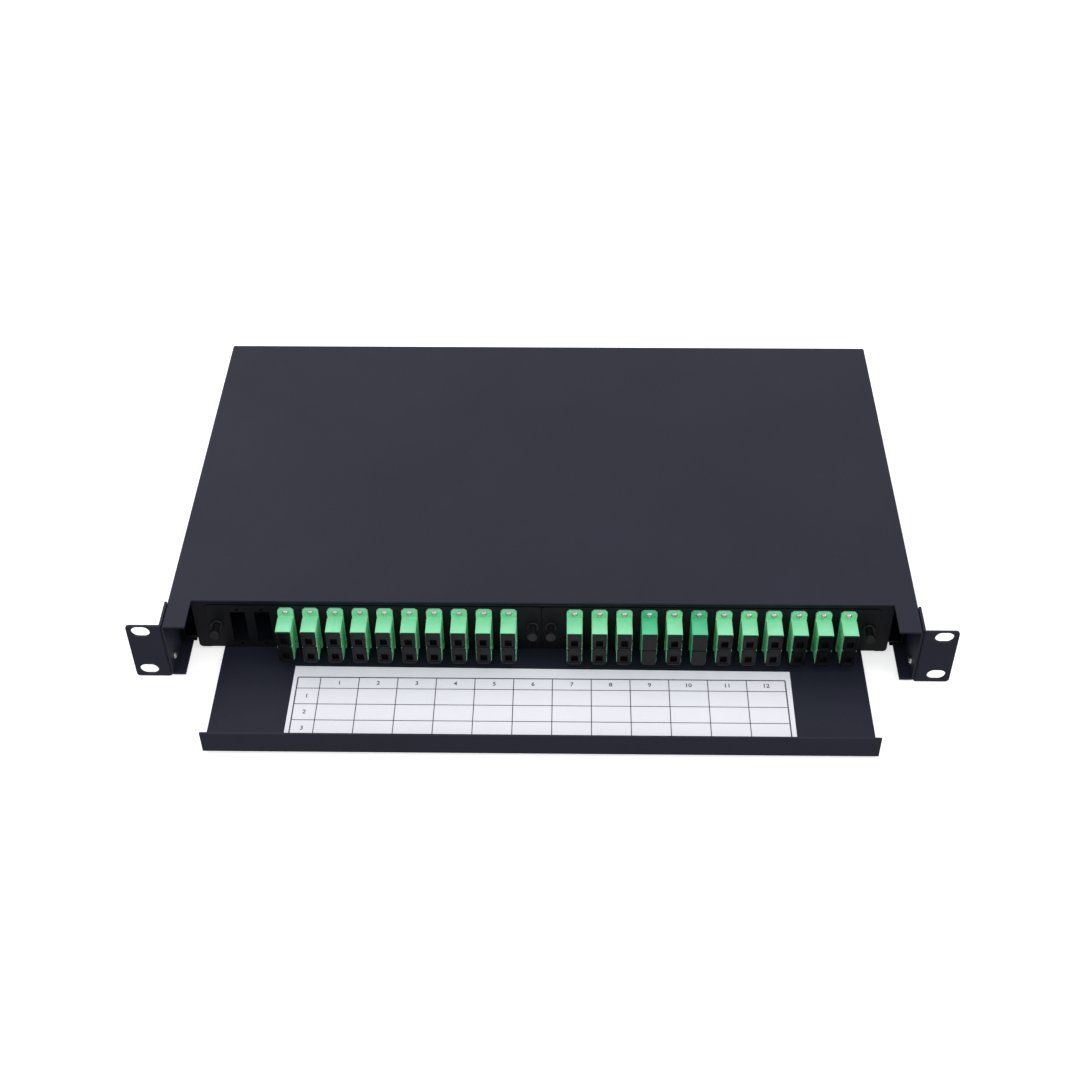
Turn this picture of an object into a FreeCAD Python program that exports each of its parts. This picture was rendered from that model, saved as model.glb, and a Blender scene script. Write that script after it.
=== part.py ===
import FreeCAD, Part
import math
import os
import Sketcher

# Rack-mounted fibre termination box, one rack unit high: a steel housing with a
# sliding drawer that carries two plates of duplex adapters and a splice tray.
# Frame: X to the right, Y to the back, Z up, millimetres. The origin is the
# centre of the four rack slots on the front face of the mounting ears.

SIZES = {
    # housing
    "shell_width": 440.6, "shell_height": 41.0, "shell_depth": 271.7,
    "shell_sheet": 1.2, "shell_bend": 1.6, "wing_width": 13.7, "notch_depth": 21.7,
    "return_width": 8.4, "tab_width": 10.0, "tab_clear": 2.3,
    "panel_sheet": 1.2, "panel_gap": 0.2, "panel_foot": 8.0, "panel_screw_rise": 12.0,
    # mounting ears
    "ear_reach": 21.0, "ear_overlap": 1.25, "ear_rise": 0.2, "ear_sheet": 1.5,
    "ear_flange": 20.5, "ear_corner": 2.2, "ear_bend": 1.8, "slot_edge": 8.3, "slot_spacing_high": 31.75,
    "slot_length": 11.0, "slot_width": 8.0, "ear_screw_depth": 8.5,
    "ear_screw_low": 12.5, "ear_screw_high": 15.0,
    # fasteners
    "screw_shank": 3.0, "screw_head": 5.6, "screw_head_height": 1.6, "screw_reach": 2.4,
    "screw_gap": 0.2, "small_shank": 1.9, "small_head": 3.6, "small_head_height": 1.4,
    "small_reach": 4.5, "cross_width": 0.7, "cross_depth": 0.8, "flat_head": 5.2,
    # cable entries in the rear panel
    "entry_offset": 150.0, "entry_hole": 22.0, "entry_bore": 12.0, "entry_lip": 2.5,
    "entry_lip_thickness": 1.8,
    # telescopic slides
    "side_space": 13.0, "rail_clear": 1.8, "rail_sheet": 1.2, "rail_gap": 0.3,
    "rail_head_gap": 0.4, "rail_tip_gap": 1.4, "rail_mouth": 1.8, "rail_front": 25.0,
    "rail_tail_gap": 4.3, "rail_stagger": 0.5, "rail_screw_margin": 35.0,
    # drawer
    "pan_sheet": 1.2, "pan_lift": 0.2, "pan_tail_gap": 19.3, "pan_headroom": 4.6,
    "pan_back_headroom": 11.6, "cable_gate": 26.0, "cable_gate_floor": 6.0,
    "shelf_inset": 15.1, "shelf_reach": 58.9, "lip_height": 16.1, "lip_bend": 1.0,
    "frame_overhang": 0.9, "frame_back_sheet": 1.2, "frame_gap": 0.5,
    "frame_post": 7.2, "opening_strip": 1.25, "opening_corner": 3.0, "frame_corner": 2.5,
    "frame_flange": 16.0, "frame_flange_sheet": 1.3, "window_step": 11.3,
    "window_inner": 11.0, "window_gap": 3.5, "frame_screw_rise": 10.0,
    # label card
    "card_length": 294.4, "card_depth": 60.0, "card_thickness": 0.2,
    "card_margin": 2.8, "card_angle": -0.35,
    # adapter plates, as thick as the bezel around them
    "plate_sheet": 1.5, "plate_gap": 0.3, "plate_side_gap": 0.15, "plate_top_gap": 1.1,
    "plate_seam": 0.5, "plate_corner": 2.0, "adapter_first": 19.5, "adapter_margin": 18.85,
    "adapter_rise": 17.3, "cutout_gap": 0.1,
    # duplex adapter
    "adapter_width": 9.0, "adapter_height": 25.0, "flange_height": 33.6,
    "flange_width": 9.4, "flange_thickness": 2.0, "flange_corner": 1.4, "front_reach": 13.6,
    "rear_reach": 13.3, "port_width": 7.5, "port_height": 9.1, "port_pitch": 12.7,
    "port_floor": 1.6, "hub_diameter": 4.6, "hub_bore": 2.5, "hub_reach": 8.0,
    "key_width": 2.4, "key_depth": 4.0, "body_chamfer": 1.4, "rim_width": 0.6,
    "rim_depth": 0.35, "relief_length": 2.3, "relief_depth": 1.1, "adapter_screw_spacing": 28.6, "screw_pocket_width": 7.4,
    "screw_pocket_height": 5.0, "screw_pocket_depth": 0.8,
    # dust caps
    "cap_gap": 0.15, "cap_face": 1.4, "cap_width": 8.5, "cap_height": 12.1,
    "cap_plug_gap": 0.3, "cap_plug": 8.0, "cap_wall": 0.8, "cap_channel_width": 6.7,
    "cap_channel_depth": 0.5, "cap_ledge": 1.3, "cap_recess_width": 4.2,
    "cap_recess_height": 5.0, "cap_recess_depth": 3.2, "cap_recess_drop": 1.2,
    # push-pull latches
    "latch_edge": 5.5, "latch_inner": 5.4, "latch_rise": 19.1, "sleeve_flange": 8.0,
    "sleeve_flange_height": 1.0, "sleeve_leg": 5.4, "sleeve_reach": 4.2,
    "sleeve_bore": 3.6, "sleeve_way": 0.3, "plunger_shank": 3.0, "plunger_neck": 4.4,
    "plunger_head": 6.3, "plunger_head_height": 1.8, "plunger_reach": 9.2,
    "plunger_tail": 5.6, "plunger_gap": 0.15, "latch_edge_break": 0.4, "latch_taper": 1.0,
    # splice tray and fibre guides
    "tray_length": 150.0, "tray_width": 105.0, "tray_height": 11.0, "tray_wall": 1.5,
    "tray_corner": 8.0, "tray_setback": 85.0, "tray_screw_margin": 8.4, "lid_gap": 0.3,
    "lid_thickness": 1.2,
    "hub_offset": 47.0, "hub_radius": 18.0, "hub_wall": 1.2, "hub_height": 8.0,
    "holder_pitch": 4.0, "holder_rib": 1.4, "holder_width": 8.0, "holder_height": 5.0,
    "holder_base": 1.0, "holder_spread": 15.0, "spool_offset": 135.0,
    "spool_setback": 110.0, "spool_radius": 38.0, "spool_hub": 26.5, "spool_eye": 14.0,
    "spool_height": 20.0, "spool_wall": 1.5, "spool_tab": 10.0, "anchor_width": 30.0,
    "anchor_depth": 16.0, "anchor_height": 18.0, "anchor_sheet": 1.5,
    "anchor_setback": 28.0, "anchor_hole": 8.0, "anchor_screw_offset": 10.0,
}
ADAPTERS_PER_PLATE = 12
EMPTY_PLACES_LEFT = 2
PLAIN_CAP_PLACES_RIGHT = (3, 5)
HOLDER_SLOTS = 12
RAIL_SCREWS = 3
HEAD_FLAT = 0.3
HEAD_CROWN = 0.45


class Size:
    """A length that carries its value and the spreadsheet expression it comes from."""

    def __init__(self, value, text):
        self.value = value
        self.text = text

    def __add__(self, other):
        return combine(self, "+", other)

    def __radd__(self, other):
        return combine(other, "+", self)

    def __sub__(self, other):
        return combine(self, "-", other)

    def __rsub__(self, other):
        return combine(other, "-", self)

    def __mul__(self, other):
        return combine(self, "*", other)

    def __rmul__(self, other):
        return combine(other, "*", self)

    def __truediv__(self, other):
        return combine(self, "/", other)

    def __neg__(self):
        return combine(-1, "*", self)


def as_size(number):
    """Give a plain number the same form as a spreadsheet size."""
    if isinstance(number, Size):
        return number
    return Size(float(number), repr(number))


def combine(left, sign, right):
    """Join two sizes with an arithmetic sign, in value and in expression."""
    left = as_size(left)
    right = as_size(right)
    operations = {
        "+": left.value + right.value,
        "-": left.value - right.value,
        "*": left.value * right.value,
        "/": left.value / right.value if right.value else 0.0,
    }
    return Size(operations[sign], f"({left.text} {sign} {right.text})")


class Sheet:
    """The driving sizes, each readable as an attribute of its alias."""

    def __init__(self, document, sizes):
        self.cells = document.addObject("Spreadsheet::Sheet", "sizes")
        for row, (alias, value) in enumerate(sizes.items(), start=1):
            self.cells.set(f"A{row}", alias)
            self.cells.set(f"B{row}", str(value))
            self.cells.setAlias(f"B{row}", alias)
            setattr(self, alias, Size(value, f"sizes.{alias}"))


doc = FreeCAD.newDocument("fiber_termination_box")
s = Sheet(doc, SIZES)
nodes = []


# ---------------------------------------------------------------- helpers

def bind(item, path, size):
    """Drive a property by a size."""
    item.setExpression(path, as_size(size).text)


def place(item, x=0, y=0, z=0):
    """Drive the position of an object."""
    for axis, size in (("x", x), ("y", y), ("z", z)):
        bind(item, f"Placement.Base.{axis}", size)


def turn(item, axis, degrees):
    """Turn an object about a frame axis through its own origin."""
    direction = FreeCAD.Vector(*(1 if letter == axis else 0 for letter in "xyz"))
    item.Placement = FreeCAD.Placement(FreeCAD.Vector(), FreeCAD.Rotation(direction, degrees))


def keep(item, label):
    """Register an object as a finished sub-part."""
    item.Label = label
    nodes.append(item)
    return item


def ordered(low, high):
    """Put two sizes in rising order, so that mirrored spans stay valid."""
    return sorted((as_size(low), as_size(high)), key=lambda size: size.value)


def box(name, x, y, z):
    """Part box between two planes along each axis."""
    item = doc.addObject("Part::Box", name)
    spans = [ordered(*span) for span in (x, y, z)]
    for path, (low, high) in zip(("Length", "Width", "Height"), spans):
        bind(item, path, high - low)
    place(item, *(low for low, high in spans))
    return item


def rod(name, diameter, axis, span, at):
    """Part cylinder along an axis; at gives the other two coordinates in order."""
    item = doc.addObject("Part::Cylinder", name)
    low, high = ordered(*span)
    bind(item, "Radius", diameter / 2)
    bind(item, "Height", high - low)
    if axis == "x":
        turn(item, "y", 90)
        place(item, low, at[0], at[1])
    elif axis == "y":
        turn(item, "x", -90)
        place(item, at[0], low, at[1])
    else:
        place(item, at[0], at[1], low)
    return item


def fuse(name, shapes):
    """One solid out of overlapping or touching pieces."""
    item = doc.addObject("Part::MultiFuse", name)
    item.Shapes = shapes
    item.Refine = True
    return item


def cut(name, base, tools):
    """Base with all tools removed."""
    item = doc.addObject("Part::Cut", name)
    item.Base = base
    item.Tool = tools[0] if len(tools) == 1 else fuse(name + "_tools", tools)
    item.Refine = True
    return item


def copy_of(source, name, x=0, y=0, z=0, axis=None, degrees=0):
    """Linked copy of a piece at a driven place."""
    item = doc.addObject("App::Link", name)
    item.LinkedObject = source
    if axis:
        turn(item, axis, degrees)
    place(item, x, y, z)
    return item


def group(label, members):
    """Node made of separate solids, or of one linked solid."""
    item = doc.addObject("Part::Compound", label)
    item.Links = members
    return keep(item, label)


def body(name):
    """Empty PartDesign body."""
    return doc.addObject("PartDesign::Body", name)


def sketch(owner, name, plane, offset=0):
    """Sketch on an origin plane of its body, moved along the plane's normal."""
    item = owner.newObject("Sketcher::SketchObject", name)
    support = [part for part in owner.Origin.OriginFeatures if part.Role == plane]
    item.AttachmentSupport = [(support[0], "")]
    item.MapMode = "FlatFace"
    bind(item, "AttachmentOffset.Base.z", offset)
    return item


def pin(item, element, point, x, y):
    """Fix a sketch point at driven coordinates."""
    for kind, axis, size in (("DistanceX", -2, x), ("DistanceY", -1, y)):
        size = as_size(size)
        if size.value == 0:
            item.addConstraint(Sketcher.Constraint("PointOnObject", element, point, axis))
        else:
            index = item.addConstraint(Sketcher.Constraint(kind, element, point, size.value))
            bind(item, f"Constraints[{index}]", size)


def outline(item, points):
    """Closed polygon with every corner pinned."""
    first = item.GeometryCount
    count = len(points)
    corners = [FreeCAD.Vector(as_size(x).value, as_size(y).value, 0) for x, y in points]
    for index in range(count):
        item.addGeometry(Part.LineSegment(corners[index], corners[(index + 1) % count]))
    for index in range(count):
        following = first + (index + 1) % count
        item.addConstraint(Sketcher.Constraint("Coincident", first + index, 2, following, 1))
        pin(item, first + index, 1, *points[index])


def rectangle(item, x, y):
    """Rectangle between two abscissas and two ordinates."""
    outline(item, [(x[0], y[0]), (x[1], y[0]), (x[1], y[1]), (x[0], y[1])])


def circle(item, x, y, diameter):
    """Circle with a driven centre and diameter."""
    centre = FreeCAD.Vector(as_size(x).value, as_size(y).value, 0)
    normal = FreeCAD.Vector(0, 0, 1)
    element = item.addGeometry(Part.Circle(centre, normal, diameter.value / 2))
    pin(item, element, 3, x, y)
    index = item.addConstraint(Sketcher.Constraint("Diameter", element, diameter.value))
    bind(item, f"Constraints[{index}]", diameter)


def slot(item, x, y, length, width):
    """Slot along the sketch's first axis, rounded at both ends."""
    half = (length - width) / 2
    radius = width / 2
    normal = FreeCAD.Vector(0, 0, 1)
    top = item.addGeometry(Part.LineSegment(
        FreeCAD.Vector((x - half).value, (y + radius).value, 0),
        FreeCAD.Vector((x + half).value, (y + radius).value, 0)))
    bottom = item.addGeometry(Part.LineSegment(
        FreeCAD.Vector((x + half).value, (y - radius).value, 0),
        FreeCAD.Vector((x - half).value, (y - radius).value, 0)))
    ends = []
    for sign, start in ((1, -math.pi / 2), (-1, math.pi / 2)):
        centre = FreeCAD.Vector((x + sign * half).value, y.value, 0)
        arc = Part.ArcOfCircle(Part.Circle(centre, normal, radius.value), start, start + math.pi)
        ends.append(item.addGeometry(arc))
    for line, height, sides in ((top, y + radius, (-1, 1)), (bottom, y - radius, (1, -1))):
        for point, side in zip((1, 2), sides):
            pin(item, line, point, x + side * half, height)
    right, left = ends
    for arc, start_of, end_of in ((right, (bottom, 1), (top, 2)), (left, (top, 1), (bottom, 2))):
        item.addConstraint(Sketcher.Constraint("Coincident", arc, 1, *start_of))
        item.addConstraint(Sketcher.Constraint("Coincident", arc, 2, *end_of))


def pad(owner, profile, length, name, backward=False):
    """Extrude a sketch along its normal, or against it."""
    item = owner.newObject("PartDesign::Pad", name)
    item.Profile = profile
    item.Reversed = backward
    bind(item, "Length", length)
    doc.recompute()
    return item


def pocket(owner, profile, length, name, forward=False):
    """Cut a sketch against its normal, or along it, and check that it cut something."""
    before = owner.Shape.Volume
    item = owner.newObject("PartDesign::Pocket", name)
    item.Profile = profile
    item.Reversed = forward
    bind(item, "Length", length)
    doc.recompute()
    require_cut(name, before, owner.Shape.Volume)
    return item


def pierce(owner, profile, name):
    """Cut a sketch through everything on both sides of its plane."""
    before = owner.Shape.Volume
    item = owner.newObject("PartDesign::Pocket", name)
    item.Profile = profile
    item.Type = "ThroughAll"
    item.Midplane = True
    doc.recompute()
    require_cut(name, before, owner.Shape.Volume)
    return item


def require_cut(name, before, after):
    """Stop when a cutting feature removed nothing."""
    if not after < before:
        raise RuntimeError(f"{name} removed nothing")


def spin(owner, profile, name):
    """Turn a profile on the XY plane about the Y axis."""
    item = owner.newObject("PartDesign::Revolution", name)
    item.Profile = profile
    item.ReferenceAxis = (profile, ["V_Axis"])
    item.Angle = 360
    doc.recompute()


def repeat(owner, originals, count, spacing, name, axis="X_Axis"):
    """Repeat features along an origin axis at a driven spacing."""
    item = owner.newObject("PartDesign::LinearPattern", name)
    item.Originals = originals
    direction = [part for part in owner.Origin.OriginFeatures if part.Role == axis]
    item.Direction = (direction[0], [""])
    item.Mode = "Spacing"
    item.Occurrences = count
    bind(item, "Offset", spacing)
    owner.Tip = item
    doc.recompute()
    return item


def edges_at(shape, axis, *places):
    """Names of straight edges along an axis that pass through any of the given places."""
    names = []
    others = [index for index in range(3) if "xyz"[index] != axis]
    for number, edge in enumerate(shape.Edges, start=1):
        if len(edge.Vertexes) != 2 or not isinstance(edge.Curve, Part.Line):
            continue
        start, end = (vertex.Point for vertex in edge.Vertexes)
        for place_at in places:
            wanted = [as_size(value).value for value in place_at]
            if all(abs(point[index] - value) < 1e-4
                   for point in (start, end) for index, value in zip(others, wanted)):
                names.append(f"Edge{number}")
    return names


def round_edges(owner, base, radius, name, axis, *places, kind="Fillet"):
    """Fillet or chamfer the straight edges of a feature at given places."""
    item = owner.newObject(f"PartDesign::{kind}", name)
    item.Base = (base, edges_at(base.Shape, axis, *places))
    bind(item, "Radius" if kind == "Fillet" else "Size", radius)
    doc.recompute()
    return item


def side_name(side):
    """Name of a side of the object: -1 is left, +1 is right."""
    return "left" if side < 0 else "right"


# ---------------------------------------------------------------- shared places

shell_x = s.shell_width / 2
shell_top = s.shell_height / 2
shell_inner_x = shell_x - s.shell_sheet
shell_inner_top = shell_top - s.shell_sheet
notch_x = shell_x - s.wing_width
panel_front = s.shell_depth - s.panel_sheet
tab_front = panel_front - s.shell_sheet
tab_inner_x = shell_inner_x - s.tab_width
panel_screw_x = shell_inner_x - s.tab_width / 2
ear_tip = shell_x + s.ear_reach
ear_top = shell_top + s.ear_rise
ear_bottom = -shell_top - s.ear_overlap
slot_x = ear_tip - s.slot_edge
slot_z = s.slot_spacing_high / 2
screw_hole = s.screw_shank + 2 * s.screw_gap

pan_x = shell_inner_x - s.side_space
pan_inner_x = pan_x - s.pan_sheet
pan_bottom = s.pan_lift - shell_top
pan_floor = pan_bottom + s.pan_sheet
pan_top = shell_inner_top - s.pan_headroom
pan_rear = tab_front - s.pan_tail_gap
rail_length = tab_front - s.rail_tail_gap - s.rail_front

frame_front = s.notch_depth
frame_back = frame_front + s.plate_sheet
frame_rear = frame_back + s.frame_back_sheet
frame_x = pan_x + s.frame_overhang
frame_top = shell_inner_top - s.frame_gap
opening_x = frame_x - s.frame_post
opening_top = frame_top - s.opening_strip
flange_inner_x = pan_inner_x - s.frame_flange_sheet
frame_screw_y = frame_rear + s.frame_flange / 2

plate_x = opening_x - s.plate_side_gap
plate_bottom = pan_floor + s.plate_gap
plate_top = opening_top - s.plate_top_gap
adapter_pitch = (plate_x - s.adapter_first - s.adapter_margin) / (ADAPTERS_PER_PLATE - 1)
adapter_z = pan_floor + s.adapter_rise
latch_z = pan_floor + s.latch_rise
latch_outer = plate_x - s.latch_edge
tray_middle = pan_rear - s.tray_setback
tray_screw_y = s.tray_width / 2 - s.tray_screw_margin
spool_middle = pan_rear - s.spool_setback
spool_screw_y = (s.spool_eye + s.spool_hub) / 2
anchor_middle = pan_rear - s.anchor_setback


def rail_screw_y(index):
    """Place of a rail screw along the slide."""
    pitch = (rail_length - 2 * s.rail_screw_margin) / (RAIL_SCREWS - 1)
    return s.rail_front + s.rail_screw_margin + index * pitch


def adapter_x(side, index):
    """Middle of an adapter place, counted outwards from the seam."""
    return side * (s.adapter_first + index * adapter_pitch)


# ---------------------------------------------------------------- fasteners

def pan_screw(name, shank, head, head_height, reach):
    """Pan-head screw along +Y: the head's seat is at the origin, the head towards -Y."""
    owner = body(name)
    profile = sketch(owner, name + "_profile", "XY_Plane")
    arm = head * HEAD_FLAT
    outline(profile, [
        (0, -head_height), (arm, -head_height), (head / 2, -head_height * HEAD_CROWN),
        (head / 2, 0), (shank / 2, 0), (shank / 2, reach), (0, reach)])
    spin(owner, profile, name + "_turned")
    for letter, x, z in (("a", arm, s.cross_width / 2), ("b", s.cross_width / 2, arm)):
        mark = sketch(owner, f"{name}_cross_{letter}", "XZ_Plane", head_height)
        rectangle(mark, (-x, x), (-z, z))
        pocket(owner, mark, s.cross_depth, f"{name}_drive_{letter}")
    return owner


def flat_screw(name):
    """Countersunk screw along +X: its flat head ends at the origin plane."""
    cone = doc.addObject("Part::Cone", name + "_head")
    turn(cone, "y", 90)
    bind(cone, "Radius1", s.flat_head / 2)
    bind(cone, "Radius2", s.screw_shank / 2)
    bind(cone, "Height", s.rail_sheet)
    shank = rod(name + "_shank", s.screw_shank, "x", (0, s.rail_sheet + s.shell_sheet), (0, 0))
    arm = s.flat_head * HEAD_FLAT
    half = s.cross_width / 2
    drive = [
        box(name + "_cross_a", (0, s.cross_depth), (-arm, arm), (-half, half)),
        box(name + "_cross_b", (0, s.cross_depth), (-half, half), (-arm, arm))]
    return cut(name, fuse(name + "_turned", [cone, shank]), drive)


case_screw = pan_screw("case_screw", s.screw_shank, s.screw_head, s.screw_head_height,
                       s.screw_reach)
adapter_screw = pan_screw("adapter_screw", s.small_shank, s.small_head,
                          s.small_head_height, s.small_reach)
rail_screw = flat_screw("rail_screw")


# ---------------------------------------------------------------- housing

def make_housing_shell():
    """Folded cover: top, side walls, bottom returns, rear tabs and a front notch."""
    owner = body("housing_shell")
    inner_x = shell_x - s.return_width
    bottom_inner = s.shell_sheet - shell_top
    profile = sketch(owner, "shell_profile", "XZ_Plane")
    outline(profile, [
        (-inner_x, -shell_top), (-shell_x, -shell_top), (-shell_x, shell_top),
        (shell_x, shell_top), (shell_x, -shell_top), (inner_x, -shell_top),
        (inner_x, bottom_inner), (shell_inner_x, bottom_inner),
        (shell_inner_x, shell_inner_top), (-shell_inner_x, shell_inner_top),
        (-shell_inner_x, bottom_inner), (-inner_x, bottom_inner)])
    folded = pad(owner, profile, s.shell_depth, "shell_folded", backward=True)
    round_edges(owner, folded, s.shell_bend, "shell_bends", "y",
                *((x, z) for x in (-shell_x, shell_x) for z in (-shell_top, shell_top)))
    notch = sketch(owner, "notch_outline", "XY_Plane")
    rectangle(notch, (-notch_x, notch_x), (-s.shell_sheet, s.notch_depth))
    pocket(owner, notch, s.shell_height, "front_notch", forward=True)
    tab_top = shell_inner_top - s.tab_clear
    tabs = sketch(owner, "tab_outline", "XZ_Plane", -tab_front)
    for side in (-1, 1):
        rectangle(tabs, (side * tab_inner_x, side * shell_inner_x), (-tab_top, tab_top))
    pad(owner, tabs, s.shell_sheet, "rear_tabs", backward=True)
    tab_holes = sketch(owner, "tab_holes", "XZ_Plane", -tab_front)
    for side in (-1, 1):
        for z in (-s.panel_screw_rise, s.panel_screw_rise):
            circle(tab_holes, side * panel_screw_x, z, screw_hole)
    pocket(owner, tab_holes, s.shell_sheet, "tab_screw_holes")
    wall_holes = sketch(owner, "wall_holes", "YZ_Plane")
    for z in (-s.ear_screw_low, s.ear_screw_high):
        circle(wall_holes, s.ear_screw_depth, z, screw_hole)
    for index in range(RAIL_SCREWS):
        circle(wall_holes, rail_screw_y(index), 0, screw_hole)
    pierce(owner, wall_holes, "wall_screw_holes")
    keep(owner, "housing_shell")


def make_rear_panel():
    """Back plate with a stiffening foot, two cable holes and four screw holes."""
    owner = body("rear_panel")
    reach_x = shell_inner_x - s.panel_gap
    top = shell_inner_top - s.panel_gap
    foot_top = s.panel_sheet - shell_top
    profile = sketch(owner, "panel_profile", "YZ_Plane", -(shell_x - s.return_width - s.panel_gap))
    foot_front = s.shell_depth - s.panel_foot
    outline(profile, [
        (foot_front, -shell_top), (s.shell_depth, -shell_top), (s.shell_depth, top),
        (panel_front, top), (panel_front, foot_top), (foot_front, foot_top)])
    pad(owner, profile, 2 * (shell_x - s.return_width - s.panel_gap), "panel_folded")
    wings = sketch(owner, "panel_wings", "XZ_Plane", -panel_front)
    wing_bottom = s.shell_sheet + s.panel_gap - shell_top
    for side in (-1, 1):
        rectangle(wings, (side * (shell_x - s.return_width - 2 * s.panel_gap), side * reach_x),
                  (wing_bottom, top))
    pad(owner, wings, s.panel_sheet, "panel_wings_pad", backward=True)
    holes = sketch(owner, "panel_holes", "XZ_Plane", -panel_front)
    for side in (-1, 1):
        circle(holes, side * s.entry_offset, 0, s.entry_hole)
        for z in (-s.panel_screw_rise, s.panel_screw_rise):
            circle(holes, side * panel_screw_x, z, screw_hole)
    pierce(owner, holes, "panel_openings")
    keep(owner, "rear_panel")


def make_cable_grommets():
    """Rubber rings that line the cable holes of the rear panel."""
    ring = body("cable_ring")
    profile = sketch(ring, "cable_ring_profile", "XY_Plane")
    neck = s.entry_hole / 2
    outer = neck + s.entry_lip
    bore = s.entry_bore / 2
    lip = s.entry_lip_thickness
    back = s.panel_sheet
    outline(profile, [
        (bore, -lip), (outer - lip / 2, -lip), (outer, 0), (neck, 0), (neck, back),
        (outer, back), (outer - lip / 2, back + lip), (bore, back + lip)])
    spin(ring, profile, "cable_ring_turned")
    for side in (-1, 1):
        ring_copy = group(f"cable_grommet_{side_name(side)}", [ring])
        place(ring_copy, side * s.entry_offset, panel_front, 0)


def make_ear(side):
    """Folded mounting ear with two rack slots, screwed to the outside of a side wall."""
    name = f"ear_{side_name(side)}"
    owner = body(name)
    profile = sketch(owner, name + "_profile", "XY_Plane", ear_bottom)
    near = side * shell_x
    far = side * ear_tip
    step = side * (shell_x + s.ear_sheet)
    outline(profile, [(near, 0), (far, 0), (far, s.ear_sheet), (step, s.ear_sheet),
                      (step, s.ear_flange), (near, s.ear_flange)])
    folded = pad(owner, profile, ear_top - ear_bottom, name + "_folded")
    bent = round_edges(owner, folded, s.ear_bend, name + "_bend", "z", (near, 0))
    round_edges(owner, bent, s.ear_corner, name + "_corners", "y", (far, ear_bottom), (far, ear_top))
    slots = sketch(owner, name + "_slots", "XZ_Plane")
    for z in (-slot_z, slot_z):
        slot(slots, side * slot_x, z, s.slot_length, s.slot_width)
    pocket(owner, slots, s.ear_sheet, name + "_rack_slots")
    holes = sketch(owner, name + "_holes", "YZ_Plane", near)
    for z in (-s.ear_screw_low, s.ear_screw_high):
        circle(holes, s.ear_screw_depth, z, screw_hole)
    pocket(owner, holes, s.ear_sheet, name + "_screw_holes", forward=side > 0)
    keep(owner, name)


def make_housing_screws():
    """Screws of the rear panel and of the ears."""
    heights = (-s.panel_screw_rise, s.panel_screw_rise)
    group("rear_panel_screws", [
        copy_of(case_screw, f"panel_screw_{side_name(side)}_{row}",
                side * panel_screw_x, s.shell_depth, z, "x", 180)
        for side in (-1, 1) for row, z in enumerate(heights)])
    heights = (-s.ear_screw_low, s.ear_screw_high)
    group("ear_screws", [
        copy_of(case_screw, f"ear_screw_{side_name(side)}_{row}",
                side * shell_inner_x, s.ear_screw_depth, z, "z", -90 * side)
        for side in (-1, 1) for row, z in enumerate(heights)])


# ---------------------------------------------------------------- slides

def make_rail(name, side, web, tip, half_height, front, length):
    """Channel rail: web is the inner face of its web, tip the end of its two flanges."""
    owner = body(name)
    back = web + s.rail_sheet if tip.value < web.value else web - s.rail_sheet
    inner = half_height - s.rail_sheet
    profile = sketch(owner, name + "_profile", "XZ_Plane", -front)
    outline(profile, [
        (side * back, -half_height), (side * back, half_height),
        (side * tip, half_height), (side * tip, inner),
        (side * web, inner), (side * web, -inner),
        (side * tip, -inner), (side * tip, -half_height)])
    pad(owner, profile, length, name + "_channel", backward=True)
    return owner


def make_slides(side):
    """Three nested channels between the side wall and the drawer."""
    suffix = side_name(side)
    outer_half = shell_inner_top - s.rail_clear
    step = s.rail_sheet + s.rail_gap
    outer_web = shell_inner_x - s.rail_sheet
    middle_web = shell_inner_x - s.screw_head_height - s.rail_head_gap - s.rail_sheet
    mouth = pan_x + s.rail_sheet + s.rail_mouth
    outer = make_rail(f"slide_outer_{suffix}", side, outer_web, mouth, outer_half,
                      s.rail_front, rail_length)
    sinks = sketch(outer, f"outer_sinks_{suffix}", "YZ_Plane", side * outer_web)
    for index in range(RAIL_SCREWS):
        circle(sinks, rail_screw_y(index), 0, s.flat_head + 2 * s.screw_gap)
    pocket(outer, sinks, s.rail_sheet, f"outer_sink_cut_{suffix}", forward=side > 0)
    keep(outer, f"slide_outer_{suffix}")
    middle = make_rail(f"slide_middle_{suffix}", side, middle_web, mouth, outer_half - step,
                       s.rail_front + s.rail_stagger, rail_length - 2 * s.rail_stagger)
    keep(middle, f"slide_middle_{suffix}")
    inner = make_rail(f"slide_inner_{suffix}", side, pan_x + s.rail_sheet,
                      middle_web - s.rail_tip_gap, outer_half - 2 * step, s.rail_front,
                      pan_rear - s.rail_front)
    holes = sketch(inner, f"inner_holes_{suffix}", "YZ_Plane", side * pan_x)
    for index in range(RAIL_SCREWS):
        circle(holes, rail_screw_y(index), 0, screw_hole)
    pocket(inner, holes, s.rail_sheet, f"inner_hole_cut_{suffix}", forward=side > 0)
    keep(inner, f"slide_inner_{suffix}")


def make_slide_screws():
    """Countersunk screws that hold the outer rails to the side walls."""
    members = []
    for side in (-1, 1):
        for index in range(RAIL_SCREWS):
            members.append(copy_of(
                rail_screw, f"slide_screw_{side_name(side)}_{index}",
                side * (shell_inner_x - s.rail_sheet), rail_screw_y(index), 0,
                "z", 0 if side > 0 else 180))
    group("slide_screws", members)


# ---------------------------------------------------------------- drawer

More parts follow.
